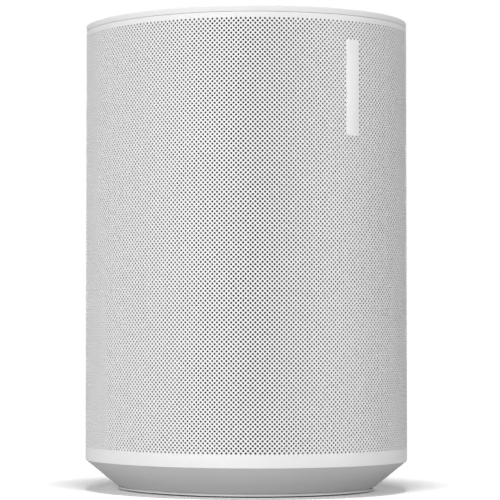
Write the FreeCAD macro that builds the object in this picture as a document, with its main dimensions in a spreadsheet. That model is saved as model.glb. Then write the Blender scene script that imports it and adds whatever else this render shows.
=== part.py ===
"""Compact upright smart speaker: an oval perforated grille round a sealed speaker enclosure.

Millimetres, +Z up, front at -Y, origin at the middle of the resting face.
"""
import FreeCAD, Part
import math
import os
import re
import Sketcher

doc = FreeCAD.newDocument("smart_speaker")
sheet = doc.addObject("Spreadsheet::Sheet", "Dimensions")

DIMENSIONS = {
    # the whole object
    "height": 182.5, "width": 120.0, "depth": 130.5,
    # plan outline: corner arcs, and how far their centres reach out from the middle
    "corner_radius": 50.0, "corner_reach_across": 0.8, "corner_reach_along": 0.72,
    # general clearances between pieces, beside screws and round moving pieces
    "fit_gap": 0.2, "screw_gap": 0.1, "slide_gap": 0.3, "window_gap": 0.3,
    # top cap, grille and its cloth
    "cap_thickness": 2.39, "seam_gap": 0.12, "cap_edge_round": 0.5, "spigot_wall": 1.5,
    "spigot_drop": 1.6, "grille_wall": 1.6, "cloth_gap": 0.1, "cloth_thickness": 0.5,
    "trough_length": 40.0, "trough_width": 9.0, "trough_depth": 0.7, "trough_forward": 30.0,
    "ear_hole": 0.6, "ear_across": 38.0, "ear_along": 36.0, "badge_length": 36.0,
    "badge_width": 6.0, "badge_proud": 0.3, "badge_below_top": 29.5, "badge_corner": 1.2,
    "led_forward": 44.0,
    # base, foot plate and foot
    "base_top": 11.7, "base_bottom": 1.4, "base_inset": 12.7, "base_foot_round": 0.8,
    "base_floor": 3.6, "base_wall": 2.2, "lower_spigot": 3.6, "plate_bottom": 0.5,
    "plate_rim": 0.6, "plate_neck_inset": 1.4,
    "foot_inset": 2.0, "foot_width": 9.0, "foot_sunk": 0.5,
    # chassis
    "frame_inset": 3.6, "frame_wall": 2.2, "tray_bottom": 16.0, "tray_floor": 2.2,
    "screw_radius": 1.45, "screw_head_radius": 2.8, "screw_head": 2.0, "screw_length": 11.0,
    "boss_radius": 4.0, "boss_across": 33.5, "boss_along": 27.5, "board_boss_radius": 2.6,
    # sealed enclosure of the large driver
    "box_bottom": 44.0, "box_top": 132.0, "box_wall": 2.8, "baffle_forward": 38.0,
    "box_back": 44.0, "seal_thickness": 1.0, "column_radius": 4.4, "column_across": 34.0,
    "column_inset": 8.0, "foam_across": 56.0, "foam_up": 52.0, "foam_thickness": 10.0,
    # large driver
    "driver_radius": 40.0, "driver_rim": 5.2, "driver_up": 88.0, "flange_thickness": 2.4,
    "gasket_thickness": 0.8, "driver_screw_edge": 2.4, "driver_screw_radius": 1.3,
    "driver_screw_head": 2.1, "driver_screw_length": 7.0, "basket_wall": 1.6,
    "basket_back_radius": 18.6, "basket_depth": 18.0, "basket_ring": 2.4, "magnet_radius": 27.0,
    "magnet_thickness": 12.5, "magnet_bore": 11.2, "yoke_thickness": 4.0, "pole_radius": 9.3,
    "coil_radius": 10.5, "coil_wall": 0.6, "coil_length": 19.0, "cone_rim": 10.2,
    "cone_depth": 13.0, "cone_wall": 0.8, "cone_forward": 4.6, "roll_radius": 2.4,
    "roll_wall": 0.7, "spider_outer": 16.0, "spider_thickness": 0.6,
    "cap_rise": 3.0,
    # pair of small drivers
    "horn_angle": 38.0, "horn_out": 43.0, "horn_up": 154.0, "horn_plate": 3.0,
    "horn_plate_width": 38.0, "horn_plate_height": 40.0, "horn_radius": 16.0, "horn_flange": 2.0,
    "horn_opening": 11.5, "horn_magnet_radius": 12.5, "horn_magnet_depth": 12.0,
    "dome_radius": 10.4, "dome_rise": 2.6, "dome_wall": 0.4, "dome_back": 0.4,
    "dome_room": 1.2, "horn_screw_reach": 9.9,
    "horn_screw_radius": 0.9, "horn_screw_head": 1.5, "horn_screw_length": 5.0,
    # top electronics
    "touch_board_inset": 4.2, "board_thickness": 1.2, "touch_board_top": 177.3,
    "chip_across": 3.8, "chip_along": 3.0, "chip_up": 1.1, "ring_outer": 2.3, "ring_bore": 0.8,
    "pipe_radius": 0.9, "led_side": 1.6, "led_up": 0.6, "front_window": 84.0,
    "back_window": 56.0, "window_margin": 4.5,
    # main electronics
    "main_board_back": 21.0, "main_board_width": 76.0, "main_board_bottom": 135.0,
    "main_board_height": 36.0, "standoff": 3.0, "carrier_wall": 2.0, "carrier_foot": 12.0,
    "carrier_margin": 3.0, "board_edge": 3.6, "thermal_pad": 1.2, "sink_base": 5.0,
    "sink_width": 40.0, "sink_height": 22.0, "fin_length": 11.0, "fin_thickness": 1.4,
    "fin_pitch": 4.6, "can_width": 22.0, "can_height": 18.0, "can_depth": 3.0,
    "can_across": 20.0,
    "antenna_across": 44.0, "antenna_along": 12.0, "antenna_length": 22.0,
    "antenna_width": 8.0, "antenna_thickness": 0.8, "ribbon_width": 9.0,
    "ribbon_thickness": 0.3, "ribbon_forward": 1.8, "ribbon_end": 165.0,
    # power supply
    "supply_width": 66.0, "supply_depth": 50.0, "supply_lift": 4.0, "core_width": 24.0,
    "core_depth": 20.0, "core_height": 17.0, "core_across": 14.0, "winding_width": 15.0,
    "winding_depth": 26.0, "winding_height": 13.0, "tank_radius": 6.0,
    "tank_height": 17.5, "tank_across": 18.0, "tank_along": 10.0,
    # rear connector panel and what sits behind it
    "panel_width": 34.0, "panel_bottom": 16.0, "panel_height": 76.0, "panel_wall": 2.0,
    "panel_sunk": 0.4, "panel_corner": 4.0, "rear_board_back": 56.6, "rear_board_bottom": 40.0,
    "rear_board_height": 50.0, "rear_board_width": 30.0, "post_radius": 2.0,
    "post_screw_radius": 0.9, "inlet_up": 29.0, "inlet_pin_radius": 1.18, "inlet_pin_apart": 8.6,
    "inlet_width": 16.4, "inlet_height": 7.8, "inlet_depth": 10.8, "inlet_pin_length": 9.0,
    "inlet_shell": 2.0, "inlet_back_wall": 3.0, "inlet_lip_gap": 1.2,
    "inlet_pin_tail": 2.0, "inlet_shank_radius": 0.8, "inlet_pin_neck": 0.3, "seat_gap": 0.02,
    "port_up": 49.0, "port_width": 8.94, "port_height": 3.26, "port_depth": 7.4,
    "port_wall": 0.35, "port_back_wall": 1.0, "tongue_thickness": 0.7,
    "tongue_width": 6.7, "tongue_short": 1.4, "port_mouth_gap": 0.35, "slider_up": 63.0,
    "slider_width": 4.2, "slider_height": 2.4, "slider_travel": 2.0, "slider_depth": 4.6,
    "slider_flange": 0.8, "slider_flange_wall": 0.8, "slider_corner": 0.8,
    "slider_box_width": 9.0, "slider_box_height": 4.0, "slider_box_depth": 3.2,
    "button_up": 77.0, "button_radius": 4.2, "button_flange": 5.2, "button_flange_wall": 1.0,
    "button_box": 6.0, "button_box_depth": 3.0, "button_lift": 0.8, "button_sunk": 0.1,
    "post_across": 11.5, "post_edge": 4.0,
}

for row, (alias, number) in enumerate(DIMENSIONS.items(), start=1):
    sheet.set(f"A{row}", alias)
    sheet.set(f"B{row}", str(number))
    sheet.setAlias(f"B{row}", alias)
doc.recompute()

# the same lengths and places, spelled once
SEAM = "(height - cap_thickness)"
CORNER_X = "((width / 2 - corner_radius) * corner_reach_across)"
CORNER_Y = "((depth / 2 - corner_radius) * corner_reach_along)"
NOSE_SPAN = f"(depth / 2 - {CORNER_Y})"
FLANK_SPAN = f"(width / 2 - {CORNER_X})"
NOSE_RADIUS = (f"(({CORNER_X} ^ 2 + {NOSE_SPAN} ^ 2 - corner_radius ^ 2)"
               f" / (2 * ({NOSE_SPAN} - corner_radius)))")
FLANK_RADIUS = (f"(({CORNER_Y} ^ 2 + {FLANK_SPAN} ^ 2 - corner_radius ^ 2)"
                f" / (2 * ({FLANK_SPAN} - corner_radius)))")
SPIGOT_INSET = "(grille_wall + fit_gap)"
FRAME_INNER = "(frame_inset + frame_wall)"
CLOTH_INSET = "(grille_wall + cloth_gap)"
PANEL_FACE = "(depth / 2 - panel_sunk)"
PANEL_BACK = "(depth / 2 - panel_sunk - panel_wall)"
MAGNET_BACK = "(basket_depth + basket_ring + magnet_thickness)"
TOUCH_BOTTOM = "(touch_board_top - board_thickness)"
INLET_BOTTOM = f"({PANEL_FACE} - inlet_depth)"
TRAY_TOP = "(tray_bottom + tray_floor)"

parts = []


def bound(text):
    """Turn the plain words of a formula into references to the sheet."""
    names = "|".join(sorted(DIMENSIONS, key=len, reverse=True))
    return re.sub(rf"\b({names})\b", r"Dimensions.\1", text)


def value(text):
    return float(sheet.evalExpression(bound(str(text))))


def tie(item, prop, text):
    item.setExpression(prop, bound(str(text)))


def node(item, name):
    """Name a finished piece and put it on the list that is written out."""
    item.Label = name
    parts.append(item)
    return item


def new_body(name):
    return doc.addObject("PartDesign::Body", name)


def sketch_on(body, role, level="0"):
    """Sketch on a plane of the body. Levels rise to +Z on XY, and run forward to -Y on XZ."""
    sketch = body.newObject("Sketcher::SketchObject", body.Name + "_sketch")
    plane = [feature for feature in body.Origin.OriginFeatures if feature.Role == role][0]
    sketch.AttachmentSupport = [(plane, "")]
    sketch.MapMode = "FlatFace"
    tie(sketch, "AttachmentOffset.Base.z", level)
    return sketch


def hold(sketch, kind, *target, size):
    number = sketch.addConstraint(Sketcher.Constraint(kind, *target, value(size)))
    tie(sketch, f"Constraints[{number}]", size)


def hold_point(sketch, geometry, end, across, up):
    hold(sketch, "DistanceX", -1, 1, geometry, end, size=across)
    hold(sketch, "DistanceY", -1, 1, geometry, end, size=up)


def spot(across, up):
    return FreeCAD.Vector(value(across), value(up), 0)


def circle(sketch, across, up, radius):
    normal = FreeCAD.Vector(0, 0, 1)
    geometry = sketch.addGeometry(Part.Circle(spot(across, up), normal, value(radius)))
    hold_point(sketch, geometry, 3, across, up)
    hold(sketch, "Radius", geometry, size=radius)


def outline(sketch, points):
    """Closed run of straight edges through points given as (across, up)."""
    places = [spot(*point) for point in points]
    first = sketch.GeometryCount
    for start, end in zip(places, places[1:] + places[:1]):
        sketch.addGeometry(Part.LineSegment(start, end))
    count = len(places)
    for step, point in enumerate(points):
        before = first + (step - 1) % count
        sketch.addConstraint(Sketcher.Constraint("Coincident", before, 2, first + step, 1))
        hold_point(sketch, first + step, 1, *point)


def rectangle(sketch, across, up, wide, tall):
    """Rectangle about a centre."""
    left, right = f"{across} - ({wide}) / 2", f"{across} + ({wide}) / 2"
    low, high = f"{up} - ({tall}) / 2", f"{up} + ({tall}) / 2"
    outline(sketch, [(left, low), (right, low), (right, high), (left, high)])


def arc(sketch, centre, radius, start, end):
    round_edge = Part.Circle(centre, FreeCAD.Vector(0, 0, 1), radius)
    return sketch.addGeometry(Part.ArcOfCircle(round_edge, start, end))


def slot(sketch, across, up, wide, tall):
    """Round-ended slot along the sketch's first axis."""
    reach, radius = f"(({wide}) - ({tall})) / 2", f"({tall}) / 2"
    middle, half, bend = spot(across, up), value(reach), value(radius)
    right = arc(sketch, middle + FreeCAD.Vector(half, 0, 0), bend, -math.pi / 2, math.pi / 2)
    left = arc(sketch, middle - FreeCAD.Vector(half, 0, 0), bend, math.pi / 2, 1.5 * math.pi)
    corners = [middle + FreeCAD.Vector(side * half, lift * bend, 0)
               for side, lift in ((1, 1), (-1, 1), (-1, -1), (1, -1))]
    top = sketch.addGeometry(Part.LineSegment(corners[0], corners[1]))
    bottom = sketch.addGeometry(Part.LineSegment(corners[2], corners[3]))
    for one, other in ((right, top), (top, left), (left, bottom), (bottom, right)):
        sketch.addConstraint(Sketcher.Constraint("Tangent", one, 2, other, 1))
    hold_point(sketch, right, 3, f"{across} + {reach}", up)
    hold_point(sketch, left, 3, f"{across} - {reach}", up)
    hold(sketch, "Radius", right, size=radius)


def oval(sketch, inset="0"):
    """Plan outline of the object drawn in by an inset: eight tangent arcs that keep their centres."""
    corner_x, corner_y = value(CORNER_X), value(CORNER_Y)
    nose, flank, corner = value(NOSE_RADIUS), value(FLANK_RADIUS), value("corner_radius")
    shift_y, shift_x = value("depth / 2") - nose, value("width / 2") - flank
    low = math.atan2(corner_y, corner_x - shift_x)
    high = math.atan2(corner_y - shift_y, corner_x)
    half_turn = math.pi
    pieces = [
        (shift_x, 0, flank, -low, low), (corner_x, corner_y, corner, low, high),
        (0, shift_y, nose, high, half_turn - high),
        (-corner_x, corner_y, corner, half_turn - high, half_turn - low),
        (-shift_x, 0, flank, half_turn - low, half_turn + low),
        (-corner_x, -corner_y, corner, half_turn + low, half_turn + high),
        (0, -shift_y, nose, half_turn + high, 2 * half_turn - high),
        (corner_x, -corner_y, corner, 2 * half_turn - high, 2 * half_turn - low),
    ]
    first = sketch.GeometryCount
    for across, up, radius, start, end in pieces:
        arc(sketch, FreeCAD.Vector(across, up, 0), radius - value(inset), start, end)
    for step in range(len(pieces)):
        following = first + (step + 1) % len(pieces)
        sketch.addConstraint(Sketcher.Constraint("Tangent", first + step, 2, following, 1))
    signs = {1: ("", ""), 3: ("-", ""), 5: ("-", "-"), 7: ("", "-")}
    for step, (side, end) in signs.items():
        hold_point(sketch, first + step, 3, side + CORNER_X, end + CORNER_Y)
        hold(sketch, "Radius", first + step, size=f"corner_radius - ({inset})")
    for step, radius in ((0, FLANK_RADIUS), (2, NOSE_RADIUS), (4, FLANK_RADIUS), (6, NOSE_RADIUS)):
        hold(sketch, "Radius", first + step, size=f"{radius} - ({inset})")


def feature(body, kind, sketch, length=None, flip=False):
    made = body.newObject("PartDesign::" + kind, f"{body.Name}_{kind}")
    made.Profile = sketch
    made.Reversed = flip
    if length is None:
        made.Type = "ThroughAll"
    else:
        tie(made, "Length", length)
    body.Tip = made
    return made


def pad(body, sketch, length, flip=False):
    return feature(body, "Pad", sketch, length, flip)


def pocket(body, sketch, length=None, flip=False):
    return feature(body, "Pocket", sketch, length, flip)


def turned(name, points):
    """Solid turned about the body's own Y axis from (radius, along Y) points."""
    body = new_body(name)
    sketch = sketch_on(body, "XY_Plane")
    outline(sketch, points)
    spin(body, sketch)
    return body


def oval_prism(name, inset, bottom, tall):
    body = new_body(name)
    sketch = sketch_on(body, "XY_Plane", bottom)
    oval(sketch, inset)
    pad(body, sketch, tall)
    return body


def oval_ring(name, outer, inner, bottom, tall):
    body = new_body(name)
    sketch = sketch_on(body, "XY_Plane", bottom)
    oval(sketch, outer)
    oval(sketch, inner)
    pad(body, sketch, tall)
    return body


def block(name, across, along, up, wide, deep, tall):
    """Box with its middle at (across, along) and its foot at up."""
    body = new_body(name)
    sketch = sketch_on(body, "XY_Plane", up)
    rectangle(sketch, across, along, wide, deep)
    pad(body, sketch, tall)
    return body


def boolean(kind, name, base, tool):
    made = doc.addObject("Part::" + kind, name)
    made.Base = base
    made.Tool = tool
    return made


def place(item, across="0", along="0", up="0", turn="0"):
    """Set a piece by formulas for its position and its turn about +Z in degrees."""
    item.Placement.Rotation.Axis = FreeCAD.Vector(0, 0, 1)
    tie(item, "Placement.Base.x", across)
    tie(item, "Placement.Base.y", along)
    tie(item, "Placement.Base.z", up)
    tie(item, "Placement.Rotation.Angle", turn)


def four(across, up):
    return [(side + across, lift + up) for side in ("", "-") for lift in ("", "-")]


def rounded(sketch, across, up, wide, tall, corner):
    """Rectangle about a centre with round corners."""
    half_wide, half_tall = f"(({wide}) / 2 - ({corner}))", f"(({tall}) / 2 - ({corner}))"
    bend = value(corner)
    corners = []
    for step, (side, lift) in enumerate((("+", "+"), ("-", "+"), ("-", "-"), ("+", "-"))):
        centre = (f"{across} {side} {half_wide}", f"{up} {lift} {half_tall}")
        start = step * math.pi / 2
        corners.append(arc(sketch, spot(*centre), bend, start, start + math.pi / 2))
        hold_point(sketch, corners[-1], 3, *centre)
        hold(sketch, "Radius", corners[-1], size=corner)
    for step, corner_arc in enumerate(corners):
        following = corners[(step + 1) % 4]
        start = sketch.Geometry[corner_arc].EndPoint
        edge = sketch.addGeometry(Part.LineSegment(start, sketch.Geometry[following].StartPoint))
        sketch.addConstraint(Sketcher.Constraint("Tangent", corner_arc, 2, edge, 1))
        sketch.addConstraint(Sketcher.Constraint("Tangent", edge, 2, following, 1))


def shell_profile(sketch, centre, radius, wall, angles, kind, ends):
    """Band between two arcs about one centre; each of its four ends is held by one distance."""
    bands = []
    for size in (radius, f"({radius}) - {wall}"):
        bands.append(arc(sketch, spot(*centre), value(size), *angles))
        hold_point(sketch, bands[-1], 3, *centre)
        hold(sketch, "Radius", bands[-1], size=size)
    outer, inner = (sketch.Geometry[band] for band in bands)
    for start, end, side in ((outer.StartPoint, inner.StartPoint, 1), (outer.EndPoint, inner.EndPoint, 2)):
        edge = sketch.addGeometry(Part.LineSegment(start, end))
        sketch.addConstraint(Sketcher.Constraint("Coincident", bands[0], side, edge, 1))
        sketch.addConstraint(Sketcher.Constraint("Coincident", edge, 2, bands[1], side))
    for (band, side), size in zip(((bands[0], 1), (bands[0], 2), (bands[1], 1), (bands[1], 2)), ends):
        hold(sketch, kind, -1, 1, band, side, size=size)


def spin(body, sketch):
    turn = body.newObject("PartDesign::Revolution", body.Name + "_turn")
    turn.Profile = sketch
    turn.ReferenceAxis = (sketch, ["V_Axis"])
    turn.Angle = 360
    body.Tip = turn


def dome(name, radius, rise, wall, back):
    """Thin spherical cap about the body's Y axis that bulges to -Y from a rim at -back."""
    body = new_body(name)
    sketch = sketch_on(body, "XY_Plane")
    ball = f"(({radius} ^ 2 + {rise} ^ 2) / (2 * {rise}))"
    low = -math.pi / 2
    angles = (low, low + math.asin(value(radius) / value(ball)))
    inner_rim = f"{radius} * ({ball} - {wall}) / {ball}"
    centre = ("0", f"{ball} - {rise} - {back}")
    shell_profile(sketch, centre, ball, wall, angles, "DistanceX", ("0", radius, "0", inner_rim))
    spin(body, sketch)
    return body


def round_edges(body, radius, level):
    """Round the outer edges of the newest feature that lie flat at one level."""
    doc.recompute()
    before, height = body.Tip, value(level)
    edges = [f"Edge{number}" for number, edge in enumerate(before.Shape.Edges, start=1)
             if abs(edge.BoundBox.ZMin - height) < 1e-6 and abs(edge.BoundBox.ZMax - height) < 1e-6]
    made = body.newObject("PartDesign::Fillet", body.Name + "_round")
    made.Base = (before, edges)
    tie(made, "Radius", radius)
    body.Tip = made


def circles(sketch, places, radius):
    for across, up in places:
        circle(sketch, across, up, radius)


def rods(name, role, level, places, radius, length, flip=False):
    """Body of equal round rods that all start on one plane."""
    body = new_body(name)
    sketch = sketch_on(body, role, level)
    circles(sketch, places, radius)
    pad(body, sketch, length, flip)
    return body


def screws(name, role, under_head, places, shank, head, head_depth, length, flip=False):
    """Group of equal screws: heads on one side of a plane, shanks on the other."""
    body = rods(name, role, under_head, places, shank, length, flip)
    top = sketch_on(body, role, under_head)
    circles(top, places, head)
    pad(body, top, head_depth, not flip)
    return body


# top cap and touch electronics

EARS = four("ear_across", "ear_along")
CAP_UNDERSIDE = f"({SEAM} + seam_gap)"
LED_PLACE = ("0", "-led_forward")


def make_top_cap():
    cap = new_body("cap")
    plate = sketch_on(cap, "XY_Plane", CAP_UNDERSIDE)
    oval(plate)
    pad(cap, plate, "cap_thickness - seam_gap")
    round_edges(cap, "cap_edge_round", "height")
    spigot = sketch_on(cap, "XY_Plane", f"{SEAM} - spigot_drop")
    oval(spigot, SPIGOT_INSET)
    oval(spigot, f"{SPIGOT_INSET} + spigot_wall")
    pad(cap, spigot, "spigot_drop + seam_gap")
    trough = sketch_on(cap, "XY_Plane", "height")
    slot(trough, "0", "-trough_forward", "trough_length", "trough_width")
    pocket(cap, trough, "trough_depth")
    holes = sketch_on(cap, "XY_Plane", "height")
    circles(holes, EARS, "ear_hole")
    circles(holes, [LED_PLACE], "pipe_radius + seat_gap")
    pocket(cap, holes)
    node(cap, "top_cap")


def make_touch_electronics():
    board = oval_prism("touch_plate", "touch_board_inset", TOUCH_BOTTOM, "board_thickness")
    holes = sketch_on(board, "XY_Plane", "touch_board_top")
    circles(holes, EARS, "ear_hole")
    pocket(board, holes)
    node(board, "touch_board")

    chips = new_body("chips")
    sketch = sketch_on(chips, "XY_Plane", f"{TOUCH_BOTTOM} - chip_up")
    for across, along in EARS:
        rectangle(sketch, across, along, "chip_across", "chip_along")
    pad(chips, sketch, "chip_up")
    node(chips, "microphones")

    rings = new_body("rings")
    sketch = sketch_on(rings, "XY_Plane", "touch_board_top")
    circles(sketch, EARS, "ring_outer")
    circles(sketch, EARS, "ring_bore")
    pad(rings, sketch, f"{CAP_UNDERSIDE} - touch_board_top")
    node(rings, "microphone_gaskets")

    led = block("led", *LED_PLACE, "touch_board_top", "led_side", "led_side / 2", "led_up")
    node(led, "status_led")
    pipe_foot = "(touch_board_top + led_up)"
    pipe = rods("pipe", "XY_Plane", pipe_foot, [LED_PLACE], "pipe_radius", f"height - {pipe_foot}")
    node(pipe, "status_light_pipe")

    cable = new_body("cable")
    sketch = sketch_on(cable, "YZ_Plane", "-ribbon_width / 2")
    front = "(main_board_back - board_thickness)"
    near, far = f"{front} - ribbon_forward", f"{front} - ribbon_forward + ribbon_thickness"
    low, step = "ribbon_end", "ribbon_end + ribbon_thickness"
    outline(sketch, [(near, low), (front, low), (front, step), (far, step),
                     (far, TOUCH_BOTTOM), (near, TOUCH_BOTTOM)])
    pad(cable, sketch, "ribbon_width")
    node(cable, "touch_ribbon_cable")


# grille, cloth, badge, base and foot

BOSSES = four("boss_across", "boss_along")
BASE_FLOOR_TOP = "(base_bottom + base_floor)"


def rear_window(sketch, gap):
    rounded(sketch, "0", "panel_bottom + panel_height / 2", f"panel_width + 2 * {gap}",
            f"panel_height + 2 * {gap}", f"panel_corner + {gap}")


def make_grille():
    grille = oval_ring("grille_tube", "0", "grille_wall", "base_top", f"{SEAM} - base_top")
    window = sketch_on(grille, "XZ_Plane")
    rear_window(window, "window_gap")
    pocket(grille, window)
    node(grille, "grille")

    cloth_foot = "(base_top + lower_spigot + fit_gap)"
    cloth_top = f"({SEAM} - spigot_drop - fit_gap)"
    cloth = oval_ring("cloth_tube", CLOTH_INSET, f"{CLOTH_INSET} + cloth_thickness", cloth_foot,
                      f"{cloth_top} - {cloth_foot}")
    window = sketch_on(cloth, "XZ_Plane")
    rear_window(window, "2 * window_gap")
    pocket(cloth, window)
    node(cloth, "grille_cloth")

    band = oval_ring("badge_band", "-badge_proud", "0", "base_top", f"{SEAM} - base_top")
    stamp = new_body("badge_stamp")
    sketch = sketch_on(stamp, "XZ_Plane")
    rounded(sketch, "0", "height - badge_below_top", "badge_width", "badge_length", "badge_corner")
    pad(stamp, sketch, "depth")
    node(boolean("Common", "badge_plate", band, stamp), "front_badge")


def tapered(name, low, low_inset, high_inset, collar_inset, collar):
    """Oval that widens from one level up to the base's top and goes on up as a straight collar."""
    body = new_body(name)
    lower = sketch_on(body, "XY_Plane", low)
    oval(lower, low_inset)
    upper = sketch_on(body, "XY_Plane", "base_top")
    oval(upper, high_inset)
    loft = body.newObject("PartDesign::AdditiveLoft", name + "_loft")
    loft.Profile = lower
    loft.Sections = [upper]
    loft.Ruled = True
    body.Tip = loft
    round_edges(body, "base_foot_round", low)
    rim = sketch_on(body, "XY_Plane", "base_top")
    oval(rim, collar_inset)
    pad(body, rim, collar)
    return body


def make_base():
    low, room_inset = "base_bottom", f"{SPIGOT_INSET} + spigot_wall"
    outside = tapered("base_outside", low, "base_inset", "0", SPIGOT_INSET, "lower_spigot")
    room = tapered("base_room", BASE_FLOOR_TOP, "base_inset + base_wall", room_inset, room_inset,
                   "2 * lower_spigot")
    base = boolean("Cut", "base_shell", outside, room)
    bores = rods("base_bores", "XY_Plane", low, BOSSES, "screw_radius + screw_gap", "2 * base_floor")
    recesses = rods("base_recesses", "XY_Plane", "0", BOSSES, "screw_head_radius + fit_gap",
                    f"{low} + screw_head + screw_gap")
    base = boolean("Cut", "base_bored", base, bores)
    node(boolean("Cut", "base_moulding", base, recesses), "base")

    plate = oval_prism("plate", "base_inset + fit_gap", "plate_bottom", "plate_rim")
    neck = sketch_on(plate, "XY_Plane", "plate_bottom + plate_rim")
    oval(neck, "base_inset + plate_neck_inset")
    pad(plate, neck, "base_bottom - plate_bottom - plate_rim")
    groove = sketch_on(plate, "XY_Plane", "plate_bottom")
    oval(groove, "base_inset + foot_inset")
    oval(groove, "base_inset + foot_inset + foot_width")
    pocket(plate, groove, "foot_sunk", flip=True)
    node(plate, "foot_plate")

    outer, inner = "base_inset + foot_inset", "base_inset + foot_inset + foot_width"
    foot = oval_ring("foot_ring", f"{outer} + fit_gap", f"{inner} - fit_gap", "0",
                     "plate_bottom + foot_sunk")
    node(foot, "rubber_foot")


# lower and upper chassis

BOARD_BOSSES = four("(supply_width / 2 - board_edge)", "(supply_depth / 2 - board_edge)")


def make_chassis():
    tray = oval_prism("tray", "frame_inset", "tray_bottom", "box_bottom - tray_bottom")
    inside = sketch_on(tray, "XY_Plane", "box_bottom")
    oval(inside, FRAME_INNER)
    pocket(tray, inside, f"box_bottom - {TRAY_TOP}")
    for foot, places, radius, top in (
            (BASE_FLOOR_TOP, BOSSES, "boss_radius", "tray_bottom"),
            (TRAY_TOP, BOARD_BOSSES, "board_boss_radius", f"{TRAY_TOP} + supply_lift")):
        sketch = sketch_on(tray, "XY_Plane", foot)
        circles(sketch, places, radius)
        pad(tray, sketch, f"{top} - {foot}")
    pilots = sketch_on(tray, "XY_Plane", BASE_FLOOR_TOP)
    circles(pilots, BOSSES, "screw_radius + seat_gap")
    pocket(tray, pilots, "screw_length", flip=True)
    pilots = sketch_on(tray, "XY_Plane", f"{TRAY_TOP} + supply_lift")
    circles(pilots, BOARD_BOSSES, "driver_screw_radius + seat_gap")
    pocket(tray, pilots, "supply_lift")
    passage = sketch_on(tray, "XZ_Plane")
    tall = f"(box_bottom - {TRAY_TOP})"
    rectangle(passage, "0", f"{TRAY_TOP} + {tall} / 2", "rear_board_width + 2 * post_edge", tall)
    pocket(tray, passage)
    node(tray, "lower_chassis")
    head_seat = "base_bottom + screw_head + screw_gap"
    fasteners = screws("floor_screws", "XY_Plane", head_seat, BOSSES, "screw_radius",
                       "screw_head_radius", "screw_head", "screw_length")
    node(fasteners, "base_screws")

    hoop = oval_ring("hoop", "frame_inset", FRAME_INNER, "box_top", f"{TOUCH_BOTTOM} - box_top")
    low, high = "(box_top + window_margin)", f"({TOUCH_BOTTOM} - window_margin)"
    for width, toward_front in (("front_window", True), ("back_window", False)):
        window = sketch_on(hoop, "XZ_Plane")
        rounded(window, "0", f"({low} + {high}) / 2", width, f"{high} - {low}", "panel_corner")
        pocket(hoop, window, flip=toward_front)
    node(hoop, "upper_chassis")


# sealed enclosure

COLUMNS = [(side + "column_across", level) for side in ("", "-")
           for level in ("box_bottom + column_inset", "box_top - column_inset")]
HEAD_SEAT = "(seal_thickness / 2 + screw_length / 2)"
DRIVER_HOLE = "(driver_radius - driver_rim)"
DRIVER_SCREW_REACH = "((driver_radius - driver_screw_edge) / sqrt(2))"
DRIVER_SCREWS = four(DRIVER_SCREW_REACH, DRIVER_SCREW_REACH)


def slab(name, front, back):
    """Block that spans the whole object across and up, between two distances along Y."""
    middle = f"(({front}) + ({back})) / 2"
    return block(name, "0", middle, "0", "2 * width", f"({back}) - ({front})", "height")


def make_enclosure():
    outer = oval_prism("box_outer", "frame_inset", "box_bottom", "box_top - box_bottom")
    inner = oval_prism("box_inner", "frame_inset + box_wall", "box_bottom + box_wall",
                       "box_top - box_bottom - 2 * box_wall")
    half_seal = "seal_thickness / 2"
    shank = rods("shank_bores", "XZ_Plane", f"-{HEAD_SEAT}", COLUMNS,
                 "screw_radius + seat_gap", "screw_length")
    access = rods("head_bores", "XZ_Plane", f"-{HEAD_SEAT}", COLUMNS,
                  "screw_head_radius + fit_gap", "box_back", flip=True)
    for side, front, back, column_foot in (
            ("front", "-baffle_forward", f"-{half_seal}", half_seal),
            ("rear", half_seal, "box_back", "-(box_back - box_wall / 2)")):
        wall_front, wall_back = ((f"{front} + box_wall", "depth") if side == "front"
                                 else ("-depth", f"{back} - box_wall"))
        solid = boolean("Common", side + "_solid", outer, slab(side + "_slab", front, back))
        room = boolean("Common", side + "_room", inner, slab(side + "_cut", wall_front, wall_back))
        shell = boolean("Cut", side + "_shell", solid, room)
        column_length = f"({back}) - ({front}) - box_wall / 2"
        columns = rods(side + "_columns", "XZ_Plane", column_foot, COLUMNS, "column_radius",
                       column_length)
        shell = boolean("Fuse", side + "_with_columns", shell, columns)
        shell = boolean("Cut", side + "_drilled", shell, shank)
        if side == "rear":
            node(boolean("Cut", "rear_box", shell, access), "enclosure_rear")
            continue
        opening = rods("driver_opening", "XZ_Plane", "baffle_forward - 2 * box_wall",
                       [("0", "driver_up")], DRIVER_HOLE, "3 * box_wall")
        shell = boolean("Cut", "front_opened", shell, opening)
        pilots = rods("driver_pilots", "XZ_Plane", "baffle_forward - 2 * box_wall", DRIVER_SCREWS,
                      "driver_screw_radius + seat_gap", "3 * box_wall")
        place(pilots, up="driver_up")
        node(boolean("Cut", "front_box", shell, pilots), "enclosure_front")

    seam = slab("seam_slab", f"-{half_seal}", half_seal)
    ring = boolean("Cut", "seal_ring", boolean("Common", "seal_solid", outer, seam), inner)
    node(ring, "enclosure_gasket")
    fasteners = screws("box_screws", "XZ_Plane", f"-{HEAD_SEAT}", COLUMNS, "screw_radius",
                       "screw_head_radius", "screw_head", "screw_length")
    node(fasteners, "enclosure_screws")
    foam_back = "(box_back - box_wall - fit_gap)"
    foam = block("foam", "0", f"{foam_back} - foam_thickness / 2", "driver_up - foam_up / 2",
                 "foam_across", "foam_thickness", "foam_up")
    node(foam, "damping_foam")


# large driver, about its own axis with the back of its flange at zero

BASKET_MOUTH = f"({DRIVER_HOLE} - fit_gap)"
CONE_RADIUS = "(driver_radius - cone_rim)"
CONE_BACK = "(cone_depth - cone_forward)"
POLE_TIP = "(basket_depth + basket_ring)"


def place_driver(item, name):
    place(item, along="-(baffle_forward + gasket_thickness)", up="driver_up")
    return node(item, name)


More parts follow.
